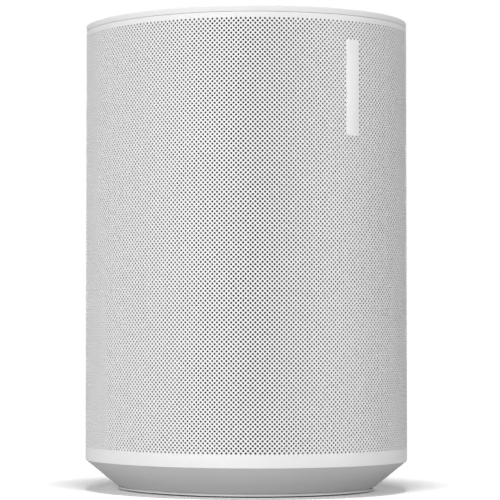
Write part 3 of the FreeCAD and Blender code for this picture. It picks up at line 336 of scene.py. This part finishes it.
RIM_ROUND, GROOVE_GAP = 0.15 * MM, 0.2 * MM
RUBBER_WIDTH, RUBBER_ROUND = 8.6 * MM, 0.3 * MM
plate_inset = HALF_WIDTH - plate_high.x
rim_top = plate_low.z + RIM_HEIGHT
foot_outer = HALF_WIDTH - foot_high.x
foot_inner = foot_outer + RUBBER_WIDTH
groove_outer, groove_inner = foot_outer - GROOVE_GAP, foot_inner + GROOVE_GAP
plate_profile = softened([
    (0, plate_high.z, 0, 0), (SHADOW_INSET, plate_high.z, 0, 1), (SHADOW_INSET, rim_top, 0, 1),
    (plate_inset, rim_top, RIM_ROUND, 1), (plate_inset, plate_low.z, RIM_ROUND, 1),
    (groove_outer, plate_low.z, 0, 1), (groove_outer, foot_high.z, 0, 1),
    (groove_inner, foot_high.z, 0, 1), (groove_inner, plate_low.z, 0, 1),
    (0, plate_low.z, 0, 0)])
plate = swept("foot_rim_plate", plate_profile, base_finish_with_painted_shade, closed=False)
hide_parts("foot_plate")

foot_profile = softened([
    (foot_outer, foot_high.z, 0, 1), (foot_outer, foot_low.z, RUBBER_ROUND, 1),
    (foot_inner, foot_low.z, RUBBER_ROUND, 1), (foot_inner, foot_high.z, 0, 1)])
foot = swept("foot_ring", foot_profile, foot_finish)
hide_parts("rubber_foot")


# Grille: one white moulding round the whole speaker, with tiny round holes on a square lattice
# turned by 45 degrees. The holed field is thinner than the plain bands above and below it, and a
# rounded window at the back lets the connector panel through.
WALL, SKIN, HOLE_RADIUS, HOLE_DRAFT = 1.6 * MM, 0.8 * MM, 0.43 * MM, 0.01 * MM
COLUMNS, ROWS, SECTORS = 222, 181, 9
FIRST_ROW, LAST_ROW = 17.15 * MM, 177.65 * MM
FIELD_BOTTOM = 15.2 * MM
WINDOW_REACH, WINDOW_TOP_ROW = 22, 87
WINDOW_COLUMNS = (COLUMNS - WINDOW_REACH, COLUMNS + WINDOW_REACH)
BAKE_BOTTOM, BAKE_HEIGHT, BAKE_MARGIN = 15 * MM, 165 * MM, 1.5
FACETS = 8
half_pitch = GIRTH / (2 * COLUMNS)
rise = (LAST_ROW - FIRST_ROW) / (ROWS - 1)


def triangles_mesh(name, places, corners, flat_places):
    """Mesh from vertex places, triangles as rows of vertex numbers, and the place of each
    triangle's corner on the flat sheet that its colours are baked to."""
    mesh = bpy.data.meshes.new(name)
    mesh.vertices.add(len(places))
    mesh.vertices.foreach_set("co", places.astype(np.float32).ravel())
    mesh.loops.add(corners.size)
    mesh.loops.foreach_set("vertex_index", corners.astype(np.int32).ravel())
    mesh.polygons.add(len(corners))
    mesh.polygons.foreach_set("loop_start", np.arange(0, corners.size, 3, dtype=np.int32))
    layer = mesh.uv_layers.new(name="OFBake")
    layer.uv.foreach_set("vector", flat_places.astype(np.float32).ravel())
    mesh.update(calc_edges=True)
    smooth(mesh, 50)
    return mesh


def half_cells(start, end):
    """Plain triangles that turn the zigzag edges of the holed field into straight ones."""
    first, last = WINDOW_COLUMNS
    rows = []
    for i in range(start + 1, end, 2):
        j = WINDOW_TOP_ROW if first < i < last else -1
        rows.append(((i - 1, j), (i + 1, j), (i, j + 1)))
        rows.append(((i + 1, ROWS), (i - 1, ROWS), (i, ROWS - 1)))
        if j == -1:
            rows.append(((i - 1, -2), (i + 1, -2), (i + 1, -1)))
            rows.append(((i - 1, -2), (i + 1, -1), (i - 1, -1)))
    for j in range(0, WINDOW_TOP_ROW, 2):
        if start <= first < end:
            rows.append(((first, j - 1), (first, j + 1), (first - 1, j)))
        if start <= last < end:
            rows.append(((last, j + 1), (last, j - 1), (last + 1, j)))
    return np.array(rows)


def field_sector(name, start, end):
    """Part of the holed field, from one half-pitch column to another, with its hole walls."""
    i, j = np.meshgrid(np.arange(start, end), np.arange(ROWS), indexing="ij")
    windowed = (i >= WINDOW_COLUMNS[0]) & (i <= WINDOW_COLUMNS[1]) & (j <= WINDOW_TOP_ROW)
    holes = ((i + j) % 2 == 0) & ~windowed
    centres = np.stack((i[holes], j[holes]), axis=-1)
    cells = centres[:, None] + np.array([(1, 0), (0, 1), (-1, 0), (0, -1)])
    plain = half_cells(start, end)
    lattice, index = np.unique(np.concatenate((cells.reshape(-1, 2), plain.reshape(-1, 2))),
                               axis=0, return_inverse=True)
    index = index.ravel()
    cell_index, plain_index = index[:cells.size // 2].reshape(-1, 4), index[cells.size // 2:]
    along = lattice[:, 0] * half_pitch
    up = np.where(lattice[:, 1] < -1, FIELD_BOTTOM, FIRST_ROW + lattice[:, 1] * rise)
    facing = np.arange(FACETS) * 2 * math.pi / FACETS
    ring_along = centres[:, :1] * half_pitch + HOLE_RADIUS * np.cos(facing)
    ring_up = FIRST_ROW + centres[:, 1:] * rise + HOLE_RADIUS * np.sin(facing)
    places = np.concatenate([
        wrap(along, up), wrap(along, up, SKIN), wrap(ring_along, ring_up).reshape(-1, 3),
        wrap(ring_along - HOLE_DRAFT * np.cos(facing), ring_up - HOLE_DRAFT * np.sin(facing),
             SKIN).reshape(-1, 3)])
    inner = len(along)
    rings = 2 * inner + np.arange(len(centres))[:, None] * FACETS + np.arange(FACETS)
    deep_rings = rings + rings.size
    plain_triangles = plain_index.reshape(-1, 3)
    face, back, walls = [plain_triangles], [plain_triangles[:, ::-1] + inner], []
    for k in range(4):
        corner, following = cell_index[:, k], cell_index[:, (k + 1) % 4]
        for group, ring, offset, turned in ((face, rings, 0, 1), (back, deep_rings, inner, -1)):
            near, middle, far = ring[:, 2 * k], ring[:, 2 * k + 1], ring[:, (2 * k + 2) % FACETS]
            a, b = corner + offset, following + offset
            for triple in ((a, b, middle), (a, middle, near), (b, far, middle)):
                group.append(np.stack(triple, axis=-1)[:, ::turned])
    for k in range(FACETS):
        following = (k + 1) % FACETS
        a, b, c, d = rings[:, k], rings[:, following], deep_rings[:, following], deep_rings[:, k]
        walls += [np.stack((a, b, c), axis=-1), np.stack((a, c, d), axis=-1)]
    face, back, walls = np.concatenate(face), np.concatenate(back), np.concatenate(walls)

    def flat(alongs, ups, side):
        """Places on the baking sheet: the face in its left half, the back in its right."""
        across = ((alongs - (start - BAKE_MARGIN) * half_pitch)
                  / ((end - start + 2 * BAKE_MARGIN) * half_pitch))
        raised = (ups - BAKE_BOTTOM) / BAKE_HEIGHT
        return np.stack((across * 0.5 + side, raised), axis=-1).reshape(-1, 2)

    middle_along = ring_along * 0.5 + centres[:, :1] * half_pitch * 0.5
    middle_up = ring_up * 0.5 + (FIRST_ROW + centres[:, 1:] * rise) * 0.5
    shared = (flat(along, up, 0), flat(along, up, 0.5), flat(ring_along, ring_up, 0))
    front_places = np.concatenate((*shared, flat(middle_along, middle_up, 0)))
    back_places = np.concatenate((*shared, flat(ring_along, ring_up, 0.5)))
    corners = np.concatenate((face, walls, back))
    bake = np.concatenate((front_places[face.ravel()], front_places[walls.ravel()],
                           back_places[back.ravel()]))
    return show(name, triangles_mesh(name, places, corners, bake), grille_finish)


WINDOW_GAP, WINDOW_CORNER = 0.3 * MM, 4.3 * MM
CORNER_STEPS, SIDE_STEPS = 8, 24


def corner_turns():
    """Round the four corners of a rounded rectangle: each one's signs and the outward headings."""
    for quarter, (side, lift) in enumerate(((1, 1), (-1, 1), (-1, -1), (1, -1))):
        for step in range(CORNER_STEPS + 1):
            facing = math.pi / 2 * (quarter + step / CORNER_STEPS)
            yield side, lift, np.array((math.cos(facing), math.sin(facing)))


def ring_faces(first, second, count):
    """Faces between two closed rings of as many vertices, numbered by their place in the mesh."""
    return [(first * count + k, first * count + (k + 1) % count,
             second * count + (k + 1) % count, second * count + k) for k in range(count)]


def window_frame(name):
    """Plain border round the rear window, from the holed field's edge to the rounded opening."""
    opening_low, opening_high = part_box("rear_panel")
    reach = nose * math.asin((opening_high.x + WINDOW_GAP) / nose)
    bottom, top = opening_low.z - WINDOW_GAP, opening_high.z + WINDOW_GAP
    middle, edge = GIRTH / 2, (WINDOW_COLUMNS[1] - COLUMNS) * half_pitch
    edge_top = FIRST_ROW + WINDOW_TOP_ROW * rise
    inner, outer = [], []
    for side, lift, heading in corner_turns():
        centre = np.array((side * (reach - WINDOW_CORNER),
                           (top if lift > 0 else bottom) - lift * WINDOW_CORNER))
        reach_out = np.abs(np.array((side * edge, edge_top if lift > 0 else FIELD_BOTTOM)) - centre)
        inner.append(centre + WINDOW_CORNER * heading)
        outer.append(centre + heading / np.abs(heading).max() * reach_out)
    dense = []
    for line in (outer, inner):
        parts = []
        for k, spot in enumerate(line):
            following = line[(k + 1) % len(line)]
            at_corner_end = k % (CORNER_STEPS + 1) == CORNER_STEPS
            steps = SIDE_STEPS if at_corner_end else 1
            parts += [spot + (following - spot) * t / steps for t in range(steps)]
        dense.append(np.array(parts))
    loops = [wrap(middle + line[:, 0], line[:, 1], inset)
             for inset in (0, WALL) for line in dense]
    faces = [face for first, second in ((0, 1), (1, 3), (3, 2), (2, 0))
             for face in ring_faces(first, second, len(dense[0]))]
    mesh = bpy.data.meshes.new(name)
    mesh.from_pydata(np.concatenate(loops).tolist(), [], faces)
    smooth(mesh, 50)
    return show(name, mesh, grille_finish)


grille_finish = moulded("grille_plastic", (0.84, 0.84, 0.84), 0.5)
grille_pieces = []
edges = [2 * round(COLUMNS * part / SECTORS) for part in range(SECTORS + 1)]
for part, (start, end) in enumerate(zip(edges, edges[1:]), start=1):
    grille_pieces.append(field_sector(f"grille_field_{part}", start, end))
grille_pieces.append(window_frame("grille_window_frame"))
EDGE_ROUND = 0.08 * MM
field_top = LAST_ROW + rise
grille_pieces.append(swept("grille_lower_band", softened([
    (0, FIELD_BOTTOM, 0, 1), (0, low.z, EDGE_ROUND, 1), (WALL, low.z, 0, 1),
    (WALL, FIELD_BOTTOM, 0, 1)]), grille_finish))
grille_pieces.append(swept("grille_upper_band", softened([
    (0, field_top, 0, 1), (WALL, field_top, 0, 1), (WALL, high.z, 0, 1),
    (0, high.z, EDGE_ROUND, 1)]), grille_finish))
for piece in grille_pieces:
    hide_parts("grille")


# Top cap: a matt white moulding that drops into the grille with a spigot. A soft trough is the
# touch strip; a light pipe and four microphone holes come up through it.
cap_low, cap_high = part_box("top_cap")
CAP_ROUND, SEAM_GAP, SPIGOT_ROUND = 0.5 * MM, 0.12 * MM, 0.3 * MM
TROUGH_Y, TROUGH_HALF, TROUGH_SIDE, TROUGH_DEPTH = -30 * MM, 15.5 * MM, 4.5 * MM, 0.7 * MM
LIGHT_Y, LIGHT_RADIUS = -44 * MM, 0.92 * MM
EAR_X, EAR_Y, EAR_RADIUS = 38 * MM, 36 * MM, 0.6 * MM
BORE_MIDDLE, BORE_LENGTH, BORE_SEGMENTS = 180 * MM, 20 * MM, 32
TOP_RINGS, TOP_TOLERANCE = 60, 0.001 * MM
cap_underside = high.z + SEAM_GAP


def bored(item, bores):
    """Cut round holes (x, y, radius) straight down through a piece."""
    for x, y, radius in bores:
        shape = bmesh.new()
        bmesh.ops.create_cone(shape, cap_ends=True, segments=BORE_SEGMENTS, radius1=radius,
                              radius2=radius, depth=BORE_LENGTH)
        bmesh.ops.translate(shape, verts=shape.verts, vec=(x, y, BORE_MIDDLE))
        mesh = bpy.data.meshes.new("bore")
        shape.to_mesh(mesh)
        shape.free()
        tool = bpy.data.objects.new("bore", mesh)
        bpy.context.scene.collection.objects.link(tool)
        cut = item.modifiers.new("bore", "BOOLEAN")
        cut.object, cut.operation, cut.solver = tool, "DIFFERENCE", "EXACT"
        whole = item.evaluated_get(bpy.context.evaluated_depsgraph_get())
        item.data = bpy.data.meshes.new_from_object(whole)
        item.modifiers.clear()
        bpy.data.objects.remove(tool)


cap_finish = moulded("cap_plastic", (0.81, 0.81, 0.81), 0.6)
top_rings = [(CAP_ROUND + 0.01 * MM, cap_high.z, 0, scale)
             for scale in np.linspace(0, 1, TOP_RINGS)]
cap_profile = softened(top_rings + [
    (0, cap_high.z, CAP_ROUND * 0.98, 1), (0, cap_underside, EDGE_ROUND, 1),
    (SPIGOT_OUTER, cap_underside, 0, 1), (SPIGOT_OUTER, cap_low.z, SPIGOT_ROUND, 1),
    (SPIGOT_INNER, cap_low.z, SPIGOT_ROUND, 1), (SPIGOT_INNER, cap_underside, 0, 1),
    (SPIGOT_INNER, cap_underside, 0, 0)], steps=8)
cap = swept("top_cap_moulding", cap_profile, cap_finish, closed=False)
for vertex in cap.data.vertices:
    if vertex.co.z > cap_high.z - TOP_TOLERANCE:
        past_end = max(abs(vertex.co.x) - TROUGH_HALF, 0)
        away = math.hypot(past_end, vertex.co.y - TROUGH_Y) / TROUGH_SIDE
        if away < 1:
            vertex.co.z -= TROUGH_DEPTH * (1 - away ** 2) ** 2
ears = [(side * EAR_X, end * EAR_Y, EAR_RADIUS) for side in (-1, 1) for end in (-1, 1)]
bored(cap, ears + [(0, LIGHT_Y, LIGHT_RADIUS)])
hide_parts("top_cap")


# Badge: a plain raised bar of bright white plastic, bonded to the front of the grille near the
# top, with its long edges rounded over. It follows the grille's curve.
badge_low, badge_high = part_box("front_badge")
BADGE_CORNER, BADGE_ROUND, BADGE_SUNK = 1.2 * MM, 0.16 * MM, 0.08 * MM
badge_proud = -badge_low.y - HALF_DEPTH
badge_finish = moulded("badge_plastic", (0.85, 0.85, 0.85), 0.35)


def badge_loop(corner_cut, inset):
    """Rounded outline of the bar at one inset from the grille's face."""
    half, middle = badge_high.x - corner_cut, (badge_low.z + badge_high.z) / 2
    tall = (badge_high.z - badge_low.z) / 2 - corner_cut
    corner = BADGE_CORNER - corner_cut
    rows = np.array([(side * (half - corner), middle + lift * (tall - corner)) + corner * heading
                     for side, lift, heading in corner_turns()])
    return wrap(rows[:, 0], rows[:, 1], inset)


badge_rows = [badge_loop(0, BADGE_SUNK), badge_loop(0, -badge_proud + BADGE_ROUND)]
for lean in np.linspace(0.2, 1, 5) * math.pi / 2:
    badge_rows.append(badge_loop(BADGE_ROUND * (1 - math.cos(lean)),
                                 -badge_proud + BADGE_ROUND * (1 - math.sin(lean))))
count = len(badge_rows[0])
badge_faces = [face for row in range(len(badge_rows) - 1)
               for face in ring_faces(row, row + 1, count)]
badge_faces.append(tuple(range((len(badge_rows) - 1) * count, len(badge_rows) * count)))
badge_faces.append(tuple(reversed(range(count))))
badge_mesh = bpy.data.meshes.new("front_bar")
badge_mesh.from_pydata(np.concatenate(badge_rows).tolist(), [], badge_faces)
smooth(badge_mesh)
badge = show("front_bar", badge_mesh, badge_finish)
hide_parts("front_badge")


# Acoustic cloth: a sleeve of dark knitted polyester, drawn tight inside the grille and bonded along
# its edges. It lets sound through and keeps dust out, and it is what shows in the holes.
def paint(finish, *names):
    """Give a finish to the pieces that keep their drawn shape."""
    for name in names:
        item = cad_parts[name]
        if not item.material_slots:
            item.data.materials.append(None)
        for held in item.material_slots:
            held.link, held.material = "OBJECT", finish


def split(places):
    """The three coordinates of a place, as separate wires."""
    return [places.add("ShaderNodeSeparateXYZ", out=axis, i0=places) for axis in range(3)]


def threads(along, pitch):
    """Rounded ridges across one coordinate: 0 in the valleys, 1 on the crests."""
    wave = along.add("ShaderNodeMath", {"operation": "SINE"}, i0=along * (2 * math.pi / pitch))
    return wave * 0.5 + 0.5


def cloth():
    finish, shader, places = new_finish("acoustic_cloth", 0.95)
    across, back, up = split(places)
    around = across.math("ARCTAN2", back, across) * HALF_WIDTH
    weft = threads(around + up, 0.9 * MM)
    warp = threads(around - up, 0.9 * MM)
    weave_ridges_and_shade = weft * warp
    # The darker colour in the valleys between the threads is painted shade; the bump gives the
    # threads their real relief.
    feed(shader, "Base Color", weave_ridges_and_shade.mix((0.008, 0.008, 0.009, 1), (0.035, 0.035, 0.036, 1)))
    bump(shader, weave_ridges_and_shade + noise(places, 1500.0) * 0.4, 0.8, 0.2 * MM)
    return finish


paint(cloth(), "grille_cloth")


# Rear connector panel: a white moulding set into the window at the back of the grille. It carries
# a black mains inlet with plated pins, a data socket with a drawn tin shell, and the white
# microphone slider and pairing button on their switches.
def metal(name, colour, roughness, stretch=(1, 1, 1), scratch=400.0):
    """Metal with streaks along its shortest stretch and a slight unevenness of polish."""
    finish, shader, places = new_finish(name, roughness, Metallic=1.0)
    drawn = places.add("ShaderNodeMapping", Vector=places, Scale=stretch)
    streaks = noise(drawn, scratch, 4.0)
    feed(shader, "Base Color", streaks.mix(shade(colour, 0.86), shade(colour, 1.05)))
    feed(shader, "Roughness", streaks * 0.2 + (roughness - 0.1))
    bump(shader, streaks, 0.12, 0.05 * MM)
    return finish


panel_finish = moulded("panel_plastic", (0.76, 0.76, 0.76), 0.55)
paint(panel_finish, "rear_panel", "microphone_switch_knob", "pairing_button")
black_finish = moulded("black_plastic", (0.025, 0.025, 0.026), 0.45)
paint(black_finish, "mains_inlet", "usb_socket_tongue", "microphone_switch_body",
      "pairing_button_switch")
tin_finish = metal("tin_plate", (0.78, 0.77, 0.75), 0.3, (1, 1, 6), 300.0)
paint(tin_finish, "usb_socket_shell")
paint(metal("plated_brass", (0.80, 0.72, 0.48), 0.28, (1, 8, 1), 500.0), "mains_pins")


# Circuit boards and their metalwork: glass-fibre boards with green solder mask over copper tracks
# and plated holes, held by zinc-plated steel screws. Pressed tin cans and microphones are soldered
# on, and a cast alloy heat sink stands on the main one.
def circuit_board():
    finish, shader, places = new_finish("circuit_board", 0.4, Coat_Weight=0.5)
    pads = places.add("ShaderNodeTexVoronoi", Vector=places, Scale=420.0)
    tracks = places.add("ShaderNodeTexVoronoi", {"distance": "CHEBYCHEV", "feature": "F1"},
                        Vector=places, Scale=160.0)
    lines = threads(tracks, 0.12)
    routed = lines.math("GREATER_THAN", lines, 0.55)
    mask = routed.mix((0.012, 0.085, 0.04, 1), (0.03, 0.17, 0.075, 1))
    plated = pads.math("LESS_THAN", pads, 0.13)
    feed(shader, "Base Color", plated.mix(mask, (0.62, 0.60, 0.52, 1)))
    feed(shader, "Metallic", plated * 0.9)
    feed(shader, "Roughness", 0.42 - plated * 0.15)
    bump(shader, routed + plated, 0.25, 0.05 * MM)
    return finish


paint(circuit_board(), "touch_board", "main_board", "power_supply_board", "connector_board",
      "antennas")
paint(metal("zinc_steel", (0.62, 0.62, 0.60), 0.38, (1, 1, 1), 700.0), "base_screws",
      "enclosure_screws", "woofer_screws", "tweeter_screws_left", "tweeter_screws_right",
      "power_board_screws", "connector_board_screws", "woofer_yoke")
paint(tin_finish, "microphones", "shield_cans")
paint(metal("cast_alloy", (0.55, 0.56, 0.57), 0.55, (1, 1, 1), 900.0), "heat_sink")


# Microphone gaskets, seals and the woofer's roll: black synthetic rubber, moulded and dull. The
# gaskets are clamped between the pieces that they seal, and the roll is glued to its basket.
def rubber(name, colour, roughness, grain):
    finish, shader, places = new_finish(name, roughness)
    speckle = noise(places, grain, 5.0)
    bloom = noise(places, 45.0)
    mottle = speckle * 0.5 + bloom * 0.5
    feed(shader, "Base Color", mottle.mix(shade(colour, 0.6), shade(colour, 1.6)))
    bump(shader, speckle, 0.4, 0.06 * MM)
    return finish


paint(rubber("seal_rubber", (0.022, 0.022, 0.023), 0.75, 1200.0), "microphone_gaskets",
      "enclosure_gasket", "woofer_gasket", "woofer_surround")


# Light pipe, lamp and touch ribbon: a clear acrylic rod pressed into the cap over a small lamp on
# the touch board, and an amber film circuit, bent to run down from that board.
def glassy(name, colour, roughness, clear):
    finish, shader, places = new_finish(name, roughness, Transmission_Weight=clear, IOR=1.49)
    haze = noise(places, 900.0)
    feed(shader, "Base Color", haze.mix(shade(colour, 0.9), shade(colour, 1.05)))
    feed(shader, "Roughness", haze * 0.1 + roughness)
    return finish


paint(glassy("clear_pipe", (0.92, 0.93, 0.92), 0.12, 0.4), "status_light_pipe")
paint(glassy("lamp_lens", (0.90, 0.88, 0.78), 0.25, 0.2), "status_led")


def ribbon():
    finish, shader, places = new_finish("ribbon_film", 0.35, Coat_Weight=0.6)
    lanes = threads(split(places)[0], 1.0 * MM)
    routed = lanes.math("GREATER_THAN", lanes, 0.5)
    feed(shader, "Base Color", routed.mix((0.42, 0.16, 0.03, 1), (0.72, 0.34, 0.10, 1)))
    bump(shader, routed + noise(places, 300.0) * 0.3, 0.2, 0.04 * MM)
    return finish


paint(ribbon(), "touch_ribbon_cable")


# Chassis, sealed enclosure and brackets: dark grey glass-filled plastic, as moulded, screwed
# together round the drivers. The tweeters' housings and the capacitors' sleeves are black plastic.
paint(moulded("frame_plastic", (0.09, 0.09, 0.095), 0.6, 1100.0, 0.45), "upper_chassis",
      "lower_chassis", "enclosure_front", "enclosure_rear", "tweeter_bracket", "board_carrier")
paint(black_finish, "tweeter_left", "tweeter_right", "power_capacitors")


# Woofer and inner fittings: a pressed steel basket, a paper cone and cap, a treated cloth spider,
# a ceramic magnet and a copper coil, with open-cell foam in the box behind. The transformer's
# core and the gel pad under the heat sink are here too.
def pulp():
    finish, shader, places = new_finish("paper_cone", 0.85)
    fibre = places.add("ShaderNodeTexNoise", Vector=places, Scale=350.0, Detail=8.0,
                       Distortion=1.5)
    felt = fibre * 0.7 + noise(places, 60.0) * 0.3
    feed(shader, "Base Color", felt.mix((0.02, 0.02, 0.02, 1), (0.085, 0.08, 0.075, 1)))
    bump(shader, fibre, 0.5, 0.12 * MM)
    return finish


def foam():
    finish, shader, places = new_finish("open_foam", 0.95)
    cells = places.add("ShaderNodeTexVoronoi", Vector=places, Scale=700.0)
    # The darker colour at the pore centres is painted shade in the pores.
    feed(shader, "Base Color", cells.mix((0.03, 0.03, 0.033, 1), (0.19, 0.18, 0.17, 1)))
    bump(shader, 1.0 - cells, 0.9, 0.4 * MM)
    return finish


def winding():
    finish, shader, places = new_finish("copper_winding", 0.3, Metallic=1.0)
    turn_ridges_and_shade = threads(split(places)[1], 0.3 * MM)
    # The darker copper in the valleys between the turns is painted shade; the bump gives the turns
    # their real relief.
    feed(shader, "Base Color", turn_ridges_and_shade.mix((0.35, 0.12, 0.05, 1), (0.85, 0.42, 0.22, 1)))
    bump(shader, turn_ridges_and_shade, 0.6, 0.1 * MM)
    return finish


def ceramic():
    finish, shader, places = new_finish("ferrite", 0.6)
    grain = noise(places, 800.0, 6.0)
    chips = noise(places, 90.0)
    fired = grain * 0.6 + chips * 0.4
    feed(shader, "Base Color", fired.mix((0.012, 0.012, 0.013, 1), (0.075, 0.072, 0.07, 1)))
    feed(shader, "Roughness", chips * 0.3 + 0.45)
    bump(shader, grain, 0.3, 0.06 * MM)
    return finish


def gel():
    finish, shader, places = new_finish("thermal_gel", 0.5)
    mottled = noise(places, 220.0, 5.0)
    feed(shader, "Base Color", mottled.mix((0.32, 0.37, 0.42, 1), (0.50, 0.55, 0.60, 1)))
    bump(shader, mottled, 0.4, 0.1 * MM)
    return finish


paint(metal("painted_basket", (0.16, 0.16, 0.17), 0.5, (1, 1, 1), 1000.0), "woofer_basket")
paint(pulp(), "woofer_cone", "woofer_dust_cap")
paint(foam(), "damping_foam", "woofer_spider", "tweeter_dome_left", "tweeter_dome_right")
paint(winding(), "woofer_voice_coil")
paint(ceramic(), "woofer_magnet", "transformer")
paint(gel(), "thermal_pad")
